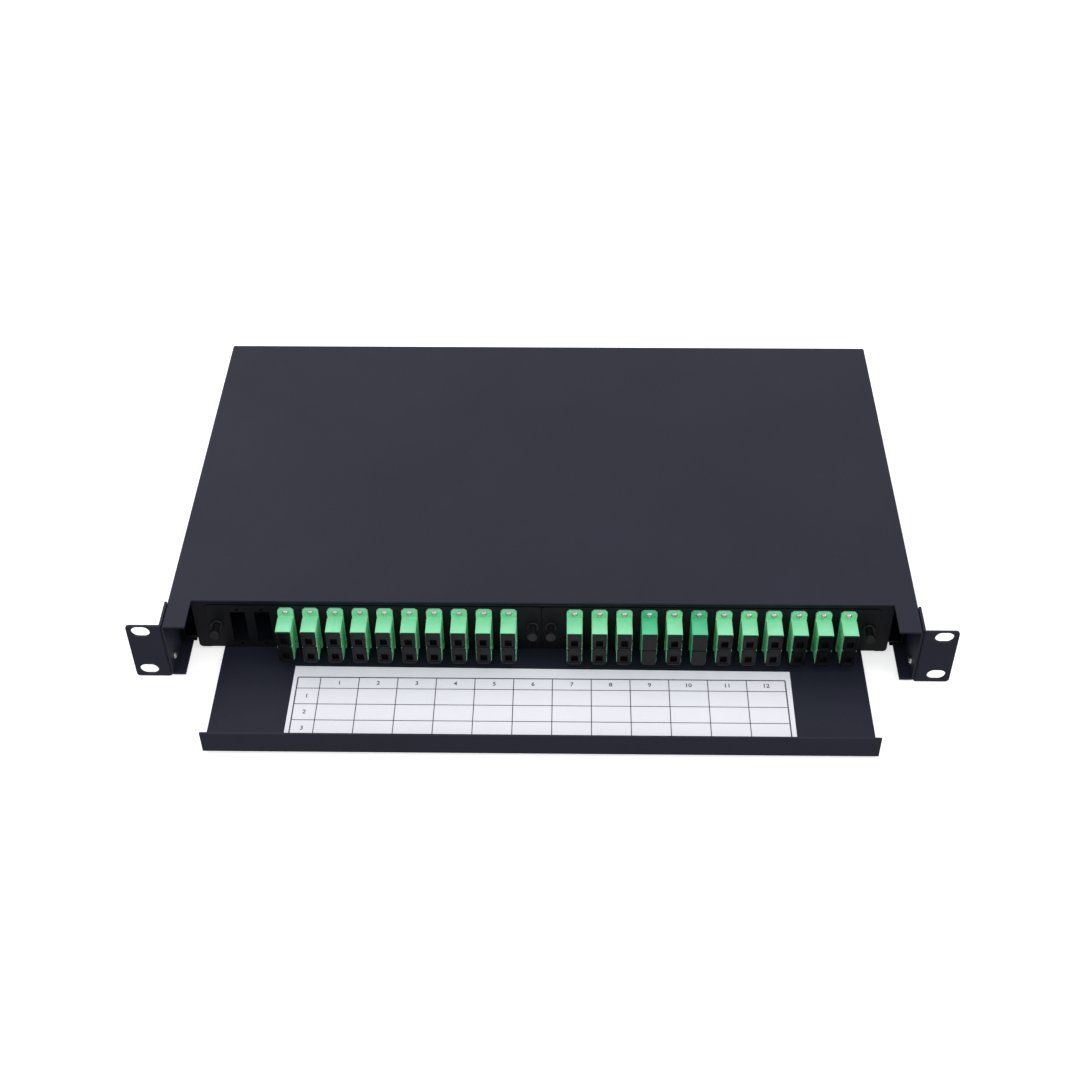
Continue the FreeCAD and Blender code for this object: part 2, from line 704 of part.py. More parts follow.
def drawer_screw_places():
    """Place and turn of every drawer screw: x, y, z, axis and degrees."""
    places = []
    for side in (-1, 1):
        for index in range(RAIL_SCREWS):
            places.append((side * pan_inner_x, rail_screw_y(index), 0, "z", -90 * side))
        for z in (-s.frame_screw_rise, s.frame_screw_rise):
            places.append((side * flange_inner_x, frame_screw_y, z, "z", -90 * side))
        for turn_by in (-1, 1):
            places.append((side * s.spool_offset, spool_middle + turn_by * spool_screw_y,
                           pan_floor + s.spool_wall, "x", -90))
            places.append((side * s.entry_offset + turn_by * s.anchor_screw_offset,
                           anchor_middle, pan_floor + s.anchor_sheet, "x", -90))
    for turn_by in (-1, 1):
        places.append((0, tray_middle + turn_by * tray_screw_y, pan_floor + s.tray_wall,
                       "x", -90))
    return places


def make_drawer_pan():
    """Drawer floor with the front shelf and its lip, side walls and a gated back wall."""
    owner = body("drawer_pan")
    shelf_x = frame_x - s.shelf_inset
    floor = sketch(owner, "floor_outline", "XY_Plane", pan_bottom)
    outline(floor, [
        (-shelf_x, -s.shelf_reach), (shelf_x, -s.shelf_reach), (shelf_x, frame_rear),
        (pan_x, frame_rear), (pan_x, pan_rear), (-pan_x, pan_rear),
        (-pan_x, frame_rear), (-shelf_x, frame_rear)])
    pad(owner, floor, s.pan_sheet, "floor")
    lip = sketch(owner, "lip_outline", "XZ_Plane", s.shelf_reach)
    rectangle(lip, (-shelf_x, shelf_x), (pan_bottom, s.lip_height - shell_top))
    lip_pad = pad(owner, lip, s.pan_sheet, "lip", backward=True)
    round_edges(owner, lip_pad, s.lip_bend, "lip_bend_edge", "x",
                (-s.shelf_reach, pan_bottom))
    walls = sketch(owner, "wall_outline", "YZ_Plane", -pan_x)
    rectangle(walls, (frame_rear, pan_rear), (pan_bottom, pan_top))
    pad(owner, walls, s.pan_sheet, "left_wall")
    walls = sketch(owner, "right_wall_outline", "YZ_Plane", pan_x)
    rectangle(walls, (frame_rear, pan_rear), (pan_bottom, pan_top))
    pad(owner, walls, s.pan_sheet, "right_wall", backward=True)
    back = sketch(owner, "back_outline", "XZ_Plane", -pan_rear)
    gate_low = pan_floor + s.cable_gate_floor
    top = shell_inner_top - s.pan_back_headroom
    gate_out = s.entry_offset + s.cable_gate / 2
    gate_in = s.entry_offset - s.cable_gate / 2
    outline(back, [
        (-pan_x, pan_bottom), (pan_x, pan_bottom), (pan_x, top), (gate_out, top),
        (gate_out, gate_low), (gate_in, gate_low), (gate_in, top), (-gate_in, top),
        (-gate_in, gate_low), (-gate_out, gate_low), (-gate_out, top), (-pan_x, top)])
    pad(owner, back, s.pan_sheet, "back_wall")
    side_holes = sketch(owner, "side_holes", "YZ_Plane")
    for index in range(RAIL_SCREWS):
        circle(side_holes, rail_screw_y(index), 0, screw_hole)
    for z in (-s.frame_screw_rise, s.frame_screw_rise):
        circle(side_holes, frame_screw_y, z, screw_hole)
    pierce(owner, side_holes, "side_screw_holes")
    floor_holes = sketch(owner, "floor_holes", "XY_Plane", pan_floor)
    for x, y, z, axis, degrees in drawer_screw_places():
        if axis == "x":
            circle(floor_holes, x, y, screw_hole)
    pocket(owner, floor_holes, s.pan_sheet, "floor_screw_holes")
    keep(owner, "drawer_pan")


def make_front_frame():
    """Bezel with a stepped back frame that the adapter plates rest against."""
    owner = body("front_frame")
    bezel = sketch(owner, "bezel_outline", "XZ_Plane", -frame_front)
    outline(bezel, [
        (-frame_x, pan_floor), (-frame_x, frame_top), (frame_x, frame_top),
        (frame_x, pan_floor), (opening_x, pan_floor), (opening_x, opening_top),
        (-opening_x, opening_top), (-opening_x, pan_floor)])
    front = pad(owner, bezel, s.plate_sheet, "bezel", backward=True)
    eased = round_edges(owner, front, s.opening_corner, "opening_corners", "y",
                        (-opening_x, opening_top), (opening_x, opening_top))
    round_edges(owner, eased, s.frame_corner, "bezel_corners", "y",
                (-frame_x, pan_floor), (frame_x, pan_floor))
    back = sketch(owner, "back_frame_outline", "XZ_Plane", -frame_back)
    rise = adapter_z + s.adapter_height / 2 + s.window_gap
    window_x = opening_x - s.window_step
    outline(back, [
        (-frame_x, pan_floor), (-frame_x, frame_top), (frame_x, frame_top),
        (frame_x, pan_floor), (window_x, pan_floor), (window_x, rise),
        (s.window_inner, rise), (s.window_inner, pan_floor),
        (-s.window_inner, pan_floor), (-s.window_inner, rise),
        (-window_x, rise), (-window_x, pan_floor)])
    pad(owner, back, s.frame_back_sheet, "back_frame", backward=True)
    flanges = sketch(owner, "flange_outline", "XZ_Plane", -frame_rear)
    for side in (-1, 1):
        rectangle(flanges, (side * flange_inner_x, side * pan_inner_x),
                  (pan_floor, pan_top))
    pad(owner, flanges, s.frame_flange, "side_flanges", backward=True)
    ways = sketch(owner, "latch_ways", "XZ_Plane", -frame_back)
    for side in (-1, 1):
        for offset in (s.latch_inner, latch_outer):
            circle(ways, side * offset, latch_z, s.sleeve_leg + 2 * s.sleeve_way)
    pocket(owner, ways, s.frame_back_sheet, "latch_holes")
    holes = sketch(owner, "flange_holes", "YZ_Plane")
    for z in (-s.frame_screw_rise, s.frame_screw_rise):
        circle(holes, frame_screw_y, z, screw_hole)
    pierce(owner, holes, "flange_screw_holes")
    keep(owner, "front_frame")


def make_label_card():
    """Paper index card that lies on the shelf, turned a little."""
    owner = body("label_card")
    face = sketch(owner, "card_outline", "XY_Plane")
    rectangle(face, (-s.card_length / 2, s.card_length / 2),
              (-s.card_depth / 2, s.card_depth / 2))
    pad(owner, face, s.card_thickness, "card")
    turn(owner, "z", SIZES["card_angle"])
    front = s.pan_sheet + s.card_margin - s.shelf_reach
    place(owner, 0, front + s.card_depth / 2, pan_floor)
    keep(owner, "label_card")


def make_drawer_screws():
    """Pan-head screws of the slides, frame, spools, anchors and splice tray."""
    group("drawer_screws", [
        copy_of(case_screw, f"drawer_screw_{index}", x, y, z, axis, degrees)
        for index, (x, y, z, axis, degrees) in enumerate(drawer_screw_places())])


# ---------------------------------------------------------------- splice area

def make_splice_tray():
    """Open tray with rounded corners and two fibre hubs."""
    owner = body("splice_tray")
    half_x = s.tray_length / 2
    half_y = s.tray_width / 2
    corners = [(x, y) for x in (-half_x, half_x) for y in (-half_y, half_y)]
    block = sketch(owner, "tray_outline", "XY_Plane")
    rectangle(block, (-half_x, half_x), (-half_y, half_y))
    solid = pad(owner, block, s.tray_height, "tray_block")
    round_edges(owner, solid, s.tray_corner, "tray_corners", "z", *corners)
    well = sketch(owner, "tray_well", "XY_Plane", s.tray_wall)
    inner_x = half_x - s.tray_wall
    inner_y = half_y - s.tray_wall
    rectangle(well, (-inner_x, inner_x), (-inner_y + s.tray_corner, inner_y - s.tray_corner))
    pocket(owner, well, s.tray_height, "tray_well_long", forward=True)
    ends = sketch(owner, "tray_well_ends", "XY_Plane", s.tray_wall)
    narrow_x = inner_x - s.tray_corner
    rectangle(ends, (-narrow_x, narrow_x), (-inner_y, inner_y))
    pocket(owner, ends, s.tray_height, "tray_well_wide", forward=True)
    hubs = sketch(owner, "tray_hubs", "XY_Plane", s.tray_wall)
    for side in (-1, 1):
        circle(hubs, side * s.hub_offset, 0, 2 * s.hub_radius)
        circle(hubs, side * s.hub_offset, 0, 2 * (s.hub_radius - s.hub_wall))
    pad(owner, hubs, s.hub_height, "fibre_hubs")
    holes = sketch(owner, "tray_holes", "XY_Plane", s.tray_wall)
    for turn_by in (-1, 1):
        circle(holes, 0, turn_by * tray_screw_y, screw_hole)
    pocket(owner, holes, s.tray_wall, "tray_screw_holes")
    place(owner, 0, tray_middle, pan_floor)
    keep(owner, "splice_tray")


def make_splice_lid():
    """Flat clear lid with rounded corners and a finger notch at the front."""
    owner = body("splice_tray_lid")
    half_x = s.tray_length / 2
    half_y = s.tray_width / 2
    notch = s.tray_corner
    face = sketch(owner, "lid_outline", "XY_Plane")
    outline(face, [
        (-half_x, -half_y), (-notch, -half_y), (-notch, notch / 2 - half_y),
        (notch, notch / 2 - half_y), (notch, -half_y), (half_x, -half_y),
        (half_x, half_y), (-half_x, half_y)])
    flat = pad(owner, face, s.lid_thickness, "lid")
    round_edges(owner, flat, s.tray_corner, "lid_corners", "z",
                *((x, y) for x in (-half_x, half_x) for y in (-half_y, half_y)))
    place(owner, 0, tray_middle, pan_floor + s.tray_height + s.lid_gap)
    keep(owner, "splice_tray_lid")


def make_splice_holders():
    """Two combs that grip the splice sleeves."""
    length = HOLDER_SLOTS * s.holder_pitch + s.holder_rib
    owner = body("splice_comb")
    half_y = s.holder_width / 2
    base = sketch(owner, "comb_base_outline", "XY_Plane")
    rectangle(base, (-length / 2, length / 2), (-half_y, half_y))
    pad(owner, base, s.holder_base, "comb_base")
    rib = sketch(owner, "comb_rib_outline", "XY_Plane")
    rectangle(rib, (-length / 2, s.holder_rib - length / 2), (-half_y, half_y))
    first = pad(owner, rib, s.holder_height, "comb_rib")
    repeat(owner, [first], HOLDER_SLOTS + 1, s.holder_pitch, "comb_ribs")
    group("splice_holders", [
        copy_of(owner, f"splice_comb_{row}", 0, tray_middle + turn_by * s.holder_spread,
                pan_floor + s.tray_wall)
        for row, turn_by in enumerate((-1, 1))])


def make_fibre_spools():
    """Two winding spools: a base ring, a hub wall and four holding tabs."""
    eye = rod("spool_eye_cut", 2 * s.spool_eye, "z", (0, s.spool_wall), (0, 0))
    disc = rod("spool_disc", 2 * s.spool_radius, "z", (0, s.spool_wall), (0, 0))
    barrel = rod("spool_barrel", 2 * s.spool_hub, "z", (0, s.spool_height), (0, 0))
    hollow = rod("spool_hollow", 2 * (s.spool_hub - s.spool_wall), "z",
                 (s.spool_wall, s.spool_height), (0, 0))
    ledge = s.spool_height - s.spool_wall
    inside = s.spool_hub - s.spool_wall / 2
    tabs = []
    for sign in (-1, 1):
        along = ordered(sign * inside, sign * s.spool_radius)
        across = (-s.spool_tab / 2, s.spool_tab / 2)
        tabs.append(box(f"spool_tab_x{sign + 1}", along, across, (ledge, s.spool_height)))
        tabs.append(box(f"spool_tab_y{sign + 1}", across, along, (ledge, s.spool_height)))
    holes = [rod(f"spool_hole_{sign + 1}", screw_hole, "z", (0, s.spool_wall),
                 (0, sign * spool_screw_y))
             for sign in (-1, 1)]
    round_part = cut("spool_round", fuse("spool_turned", [disc, barrel]), [eye, hollow])
    spool = cut("fibre_spool", fuse("spool_tabbed", [round_part] + tabs), holes)
    group("fibre_spools", [
        copy_of(spool, f"fibre_spool_{side_name(side)}", side * s.spool_offset,
                spool_middle, pan_floor)
        for side in (-1, 1)])


def make_cable_anchors():
    """Two angle brackets that take the cables' strength members."""
    half_x = s.anchor_width / 2
    half_y = s.anchor_depth / 2
    base = box("anchor_base", (-half_x, half_x), (-half_y, half_y), (0, s.anchor_sheet))
    upright = box("anchor_upright", (-half_x, half_x), (half_y - s.anchor_sheet, half_y),
                  (0, s.anchor_height))
    eye_z = s.anchor_height - s.anchor_hole
    tools = [rod("anchor_eye", s.anchor_hole, "y", (half_y - s.anchor_sheet, half_y),
                 (0, eye_z))]
    for sign in (-1, 1):
        tools.append(rod(f"anchor_hole_{sign + 1}", screw_hole, "z", (0, s.anchor_sheet),
                         (sign * s.anchor_screw_offset, 0)))
    bracket = cut("cable_anchor", fuse("anchor_angle", [base, upright]), tools)
    group("cable_anchors", [
        copy_of(bracket, f"cable_anchor_{side_name(side)}", side * s.entry_offset,
                anchor_middle, pan_floor)
        for side in (-1, 1)])


# ---------------------------------------------------------------- adapters

def make_adapter_source():
    """Duplex adapter about its flange's back plane: front towards -Y, two ports."""
    half_x = s.adapter_width / 2
    half_z = s.adapter_height / 2
    flange_x = s.flange_width / 2
    flange_z = s.flange_height / 2
    flange_y = -s.flange_thickness
    nose = flange_y - s.front_reach
    tail = s.rear_reach
    chamfer = s.body_chamfer
    owner = body("duplex_adapter")
    section = sketch(owner, "adapter_section", "XZ_Plane", -nose)
    outline(section, [
        (chamfer - half_x, -half_z), (half_x - chamfer, -half_z),
        (half_x, chamfer - half_z), (half_x, half_z), (-half_x, half_z),
        (-half_x, chamfer - half_z)])
    pad(owner, section, tail - nose, "adapter_block", backward=True)
    flange = sketch(owner, "flange_outline_adapter", "XZ_Plane", -flange_y)
    cut_off = s.flange_corner
    outline(flange, [
        (cut_off - flange_x, -flange_z), (flange_x - cut_off, -flange_z),
        (flange_x, cut_off - flange_z), (flange_x, flange_z - cut_off),
        (flange_x - cut_off, flange_z), (cut_off - flange_x, flange_z),
        (-flange_x, flange_z - cut_off), (-flange_x, cut_off - flange_z)])
    pad(owner, flange, s.flange_thickness, "adapter_flange", backward=True)
    rim = sketch(owner, "rim_outline", "XY_Plane", half_z)
    rectangle(rim, (s.rim_width - half_x, half_x - s.rim_width),
              (nose + s.rim_width, flange_y))
    pocket(owner, rim, s.rim_depth, "top_relief")
    for name, level in (("upper", half_z), ("lower", -half_z)):
        notch = sketch(owner, f"{name}_notch_outline", "XY_Plane", level)
        rectangle(notch, (-half_x, half_x), (flange_y - s.relief_length, flange_y))
        pocket(owner, notch, s.relief_depth, f"{name}_notch", forward=name == "lower")
    floor_front = flange_y / 2 - s.port_floor / 2
    floor_back = floor_front + s.port_floor
    port_z = s.port_pitch / 2
    for name, start, depth, forward in (
            ("front", nose, floor_front - nose, False),
            ("rear", tail, tail - floor_back, True)):
        ports = sketch(owner, f"{name}_port_outline", "XZ_Plane", -start)
        for sign in (-1, 1):
            rectangle(ports, (-s.port_width / 2, s.port_width / 2),
                      (sign * port_z - s.port_height / 2, sign * port_z + s.port_height / 2))
        pocket(owner, ports, depth, f"{name}_ports", forward=forward)
        keys = sketch(owner, f"{name}_key_outline", "XZ_Plane", -start)
        for sign in (-1, 1):
            rectangle(keys, (s.port_width / 2, half_x),
                      (sign * port_z - s.key_width / 2, sign * port_z + s.key_width / 2))
        pocket(owner, keys, s.key_depth, f"{name}_keyways", forward=forward)
    hubs = sketch(owner, "hub_outline", "XZ_Plane", s.hub_reach - floor_front)
    for sign in (-1, 1):
        circle(hubs, 0, sign * port_z, s.hub_diameter)
    pad(owner, hubs, 2 * s.hub_reach + s.port_floor, "sleeve_hubs", backward=True)
    bores = sketch(owner, "bore_outline", "XZ_Plane")
    for sign in (-1, 1):
        circle(bores, 0, sign * port_z, s.hub_bore)
    pierce(owner, bores, "sleeve_bores")
    spread = s.adapter_screw_spacing / 2
    wells = sketch(owner, "screw_well_outline", "XZ_Plane", -flange_y)
    holes = sketch(owner, "screw_hole_outline", "XZ_Plane", -flange_y)
    for sign in (-1, 1):
        rectangle(wells, (-s.screw_pocket_width / 2, s.screw_pocket_width / 2),
                  (sign * (spread - s.screw_pocket_height / 2),
                   sign * (spread + s.screw_pocket_height / 2)))
        circle(holes, 0, sign * spread, s.small_shank + s.screw_gap)
    pocket(owner, wells, s.screw_pocket_depth, "screw_wells")
    pocket(owner, holes, s.flange_thickness, "screw_holes")
    return owner


def make_cap(name, recessed):
    """Dust cap about its face's back plane: face towards -Y, hollow plug towards +Y."""
    half_x = s.cap_width / 2
    half_z = s.cap_height / 2
    chamfer = s.body_chamfer
    owner = body(name)
    face = sketch(owner, name + "_face_outline", "XZ_Plane")
    outline(face, [
        (chamfer - half_x, -half_z), (half_x - chamfer, -half_z),
        (half_x, chamfer - half_z), (half_x, half_z), (-half_x, half_z),
        (-half_x, chamfer - half_z)])
    pad(owner, face, s.cap_face, name + "_face")
    plug_x = s.port_width / 2 - s.cap_plug_gap
    plug_z = s.port_height / 2 - s.cap_plug_gap
    plug = sketch(owner, name + "_plug_outline", "XZ_Plane")
    rectangle(plug, (-plug_x, plug_x), (-plug_z, plug_z))
    pad(owner, plug, s.cap_plug, name + "_plug", backward=True)
    hollow = sketch(owner, name + "_hollow_outline", "XZ_Plane", -s.cap_plug)
    rectangle(hollow, (s.cap_wall - plug_x, plug_x - s.cap_wall),
              (s.cap_wall - plug_z, plug_z - s.cap_wall))
    sunk = s.cap_recess_depth - s.cap_face
    pocket(owner, hollow, s.cap_plug - sunk - s.cap_wall, name + "_hollow", forward=True)
    if recessed:
        channel = sketch(owner, name + "_channel_outline", "XZ_Plane", s.cap_face)
        rectangle(channel, (-s.cap_channel_width / 2, s.cap_channel_width / 2),
                  (s.cap_ledge - half_z, half_z))
        pocket(owner, channel, s.cap_channel_depth, name + "_channel")
        recess = sketch(owner, name + "_recess_outline", "XZ_Plane", s.cap_face)
        rectangle(recess, (-s.cap_recess_width / 2, s.cap_recess_width / 2),
                  (-s.cap_recess_height / 2 - s.cap_recess_drop,
                   s.cap_recess_height / 2 - s.cap_recess_drop))
        pocket(owner, recess, s.cap_recess_depth, name + "_recess")
    return owner


def plate_places(side):
    """Adapter places of a plate that carry an adapter."""
    last = ADAPTERS_PER_PLATE - (EMPTY_PLACES_LEFT if side < 0 else 0)
    return range(last)


def make_adapter_plate(side):
    """Plate with twelve cut-outs, their screw holes and two latch holes."""
    name = f"adapter_plate_{side_name(side)}"
    owner = body(name)
    near = side * s.plate_seam / 2
    far = side * plate_x
    face = sketch(owner, name + "_outline", "XZ_Plane")
    rectangle(face, (near, far), (plate_bottom, plate_top))
    sheet = pad(owner, face, s.plate_sheet, name + "_sheet", backward=True)
    round_edges(owner, sheet, s.plate_corner, name + "_corners", "y",
                (near, plate_top), (far, plate_top))
    first = sketch(owner, name + "_place", "XZ_Plane")
    half_x = s.adapter_width / 2 + s.cutout_gap
    half_z = s.adapter_height / 2 + s.cutout_gap
    start = adapter_x(side, 0 if side > 0 else ADAPTERS_PER_PLATE - 1)
    rectangle(first, (start - half_x, start + half_x),
              (adapter_z - half_z, adapter_z + half_z))
    for sign in (-1, 1):
        circle(first, start, adapter_z + sign * s.adapter_screw_spacing / 2,
               s.small_shank + s.screw_gap)
    opening = pocket(owner, first, s.plate_sheet, name + "_opening")
    repeat(owner, [opening], ADAPTERS_PER_PLATE, adapter_pitch, name + "_openings")
    holes = sketch(owner, name + "_latch_outline", "XZ_Plane")
    for offset in (s.latch_inner, latch_outer):
        circle(holes, side * offset, latch_z, s.sleeve_leg)
    pocket(owner, holes, s.plate_sheet, name + "_latch_holes")
    place(owner, 0, frame_front, 0)
    keep(owner, name)


def make_adapters():
    """Every adapter in its own node, numbered from left to right."""
    source = make_adapter_source()
    places = [adapter_x(-1, index) for index in reversed(plate_places(-1))]
    places += [adapter_x(1, index) for index in plate_places(1)]
    for number, x in enumerate(places, start=1):
        place(group(f"adapter_{number:02d}", [source]), x, frame_front, adapter_z)


def make_plate_fittings(side, recessed_cap, plain_cap):
    """Screws and front and rear dust caps of one plate."""
    suffix = side_name(side)
    screws, fronts, rears = [], [], []
    seat = frame_front - s.flange_thickness + s.screw_pocket_depth
    nose = frame_front - s.flange_thickness - s.front_reach
    tail = frame_front + s.rear_reach
    for index in plate_places(side):
        x = adapter_x(side, index)
        plain = side > 0 and index in PLAIN_CAP_PLACES_RIGHT
        for row, sign in enumerate((-1, 1)):
            tag = f"{suffix}_{index}_{row}"
            screws.append(copy_of(adapter_screw, f"small_screw_{tag}", x, seat,
                                  adapter_z + sign * s.adapter_screw_spacing / 2))
            port_z = adapter_z + sign * s.port_pitch / 2
            fronts.append(copy_of(plain_cap if plain else recessed_cap, f"front_cap_{tag}",
                                  x, nose - s.cap_gap, port_z))
            rears.append(copy_of(recessed_cap, f"rear_cap_{tag}", x, tail, port_z, "z", 180))
    group(f"adapter_screws_{suffix}", screws)
    group(f"dust_caps_{suffix}", fronts)
    group(f"rear_caps_{suffix}", rears)


# ---------------------------------------------------------------- latches

def make_latches():
    """Nylon push-pull latches: a flanged sleeve in the plate and a plunger in it."""
    sleeve = body("latch_sleeve")
    profile = sketch(sleeve, "sleeve_profile", "XY_Plane")
    bore = s.sleeve_bore / 2
    flange = s.sleeve_flange_height
    edge = s.latch_edge_break
    outline(profile, [
        (bore, -flange), (s.sleeve_flange / 2 - edge, -flange),
        (s.sleeve_flange / 2, edge - flange), (s.sleeve_flange / 2, 0), (s.sleeve_leg / 2, 0),
        (s.sleeve_leg / 2, s.sleeve_reach - s.latch_taper), (bore + edge, s.sleeve_reach),
        (bore, s.sleeve_reach)])
    spin(sleeve, profile, "sleeve_turned")
    plunger = body("plunger_source")
    profile = sketch(plunger, "plunger_profile", "XY_Plane")
    neck_end = -flange - s.plunger_gap
    head_back = s.plunger_head_height - s.plunger_reach
    outline(profile, [
        (0, -s.plunger_reach), (s.plunger_head / 2 - edge, -s.plunger_reach),
        (s.plunger_head / 2, edge - s.plunger_reach), (s.plunger_head / 2, head_back),
        (s.plunger_neck / 2, head_back + edge), (s.plunger_neck / 2, neck_end),
        (s.plunger_shank / 2, neck_end), (s.plunger_shank / 2, s.plunger_tail - s.latch_taper),
        (s.plunger_shank / 4, s.plunger_tail), (0, s.plunger_tail)])
    spin(plunger, profile, "plunger_turned")
    for side in (-1, 1):
        suffix = side_name(side)
        group(f"latch_sleeves_{suffix}", [
            copy_of(sleeve, f"latch_sleeve_{suffix}_{kind}", side * offset, frame_front, latch_z)
            for kind, offset in (("inner", s.latch_inner), ("outer", latch_outer))])
        for kind, offset in (("inner", s.latch_inner), ("outer", latch_outer)):
            item = group(f"latch_plunger_{suffix}_{kind}", [plunger])
            place(item, side * offset, frame_front, latch_z)


# ---------------------------------------------------------------- assembly

def check_model():
    """Stop on any failed object or any sub-part without a valid shape."""
    for item in doc.Objects:
        if "Invalid" in item.State or "Error" in item.State:
            raise RuntimeError(f"{item.Name} failed: {item.State}")
    for node in nodes:
        if node.Shape.isNull() or not node.Shape.isValid():
            raise RuntimeError(f"{node.Label} has no valid shape")


def write_parts():
    """Write every sub-part to its own STEP file."""
    os.makedirs("parts", exist_ok=True)
    for node in nodes:
        node.Shape.exportStep(f"parts/{node.Label}.step")
        print(node.Label, len(node.Shape.Solids), "solids")


make_housing_shell()
make_rear_panel()
make_cable_grommets()
for side in (-1, 1):
    make_ear(side)
    make_slides(side)
make_housing_screws()
make_slide_screws()
make_drawer_pan()
make_front_frame()
make_label_card()
make_drawer_screws()
make_splice_tray()
make_splice_lid()
make_splice_holders()
make_fibre_spools()
make_cable_anchors()
make_adapters()
recessed_cap = make_cap("dust_cap", recessed=True)
plain_cap = make_cap("plain_dust_cap", recessed=False)
for side in (-1, 1):
    make_adapter_plate(side)
    make_plate_fittings(side, recessed_cap, plain_cap)
make_latches()
doc.recompute()
check_model()
write_parts()
print(len(nodes), "sub-parts")
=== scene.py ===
"""Looks of a one-unit rack fibre termination box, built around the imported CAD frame."""
import math

import bmesh
import bpy
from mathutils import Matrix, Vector


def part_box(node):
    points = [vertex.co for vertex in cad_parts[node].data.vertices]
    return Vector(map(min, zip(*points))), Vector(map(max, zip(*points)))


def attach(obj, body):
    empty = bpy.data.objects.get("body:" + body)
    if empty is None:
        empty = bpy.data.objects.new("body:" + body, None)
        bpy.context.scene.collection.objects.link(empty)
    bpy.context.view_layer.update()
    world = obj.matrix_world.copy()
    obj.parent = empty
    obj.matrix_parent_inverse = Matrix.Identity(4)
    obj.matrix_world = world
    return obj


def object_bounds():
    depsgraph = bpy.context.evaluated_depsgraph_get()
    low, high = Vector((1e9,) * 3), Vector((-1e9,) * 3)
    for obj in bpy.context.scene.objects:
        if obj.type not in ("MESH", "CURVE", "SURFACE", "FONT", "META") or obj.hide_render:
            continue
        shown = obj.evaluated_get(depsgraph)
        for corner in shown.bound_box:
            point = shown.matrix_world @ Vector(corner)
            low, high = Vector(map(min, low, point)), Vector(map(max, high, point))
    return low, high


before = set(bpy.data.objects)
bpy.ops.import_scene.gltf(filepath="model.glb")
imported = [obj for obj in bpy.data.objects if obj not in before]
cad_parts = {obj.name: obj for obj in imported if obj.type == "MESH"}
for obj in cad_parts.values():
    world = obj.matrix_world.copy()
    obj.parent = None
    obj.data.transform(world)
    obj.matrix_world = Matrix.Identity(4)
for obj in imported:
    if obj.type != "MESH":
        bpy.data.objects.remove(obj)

CAD_LOW, CAD_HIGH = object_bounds()
MM = 0.001


# ---------------------------------------------------------------- node graph
class Graph:
    """A material's nodes, made by short calls."""

    def __init__(self, name):
        self.material = bpy.data.materials.new(name)
        self.material.use_nodes = True
        self.tree = self.material.node_tree
        self.tree.nodes.clear()
        self.out = self.tree.nodes.new("ShaderNodeOutputMaterial")
        self.shader = self.tree.nodes.new("ShaderNodeBsdfPrincipled")
        self.tree.links.new(self.shader.outputs[0], self.out.inputs["Surface"])
        where = self.tree.nodes.new("ShaderNodeTexCoord")
        self.place = where.outputs["Object"]

    def link(self, source, target):
        self.tree.links.new(source, target)

    def fixed(self, **values):
        for socket, value in values.items():
            self.shader.inputs[socket.replace("_", " ")].default_value = value

    def stretched(self, factors):
        node = self.tree.nodes.new("ShaderNodeMapping")
        node.inputs["Scale"].default_value = factors
        self.link(self.place, node.inputs["Vector"])
        return node.outputs["Vector"]

    def noise(self, size, detail=3.0, rough=0.5, distortion=0.0, stretch=None):
        """Noise whose features are about size metres across."""
        node = self.tree.nodes.new("ShaderNodeTexNoise")
        node.inputs["Scale"].default_value = 1.0 / size
        node.inputs["Detail"].default_value = detail
        node.inputs["Roughness"].default_value = rough
        node.inputs["Distortion"].default_value = distortion
        self.link(self.stretched(stretch) if stretch else self.place, node.inputs["Vector"])
        return node.outputs["Fac"]

    def remap(self, value, low, high, to_low, to_high):
        node = self.tree.nodes.new("ShaderNodeMapRange")
        for socket, number in (("From Min", low), ("From Max", high),
                               ("To Min", to_low), ("To Max", to_high)):
            node.inputs[socket].default_value = number
        self.link(value, node.inputs["Value"])
        return node.outputs["Result"]

    def sums(self, a, b, operation="ADD"):
        node = self.tree.nodes.new("ShaderNodeMath")
        node.operation = operation
        for socket, value in zip(node.inputs, (a, b)):
            if isinstance(value, (int, float)):
                socket.default_value = value
            else:
                self.link(value, socket)
        return node.outputs[0]

    def mixed(self, factor, first, second):
        node = self.tree.nodes.new("ShaderNodeMix")
        node.data_type = "RGBA"
        self.link(factor, node.inputs["Factor"])
        for socket, value in zip((node.inputs[6], node.inputs[7]), (first, second)):
            if isinstance(value, tuple):
                socket.default_value = (*value, 1.0)
            else:
                self.link(value, socket)
        return node.outputs[2]

    def colour(self, value):
        self.link(value, self.shader.inputs["Base Color"])

    def roughness(self, value):
        self.link(value, self.shader.inputs["Roughness"])

    def bump(self, height, distance, strength=1.0):
        node = self.tree.nodes.new("ShaderNodeBump")
        node.inputs["Strength"].default_value = strength
        node.inputs["Distance"].default_value = distance
        self.link(height, node.inputs["Height"])
        self.link(node.outputs["Normal"], self.shader.inputs["Normal"])


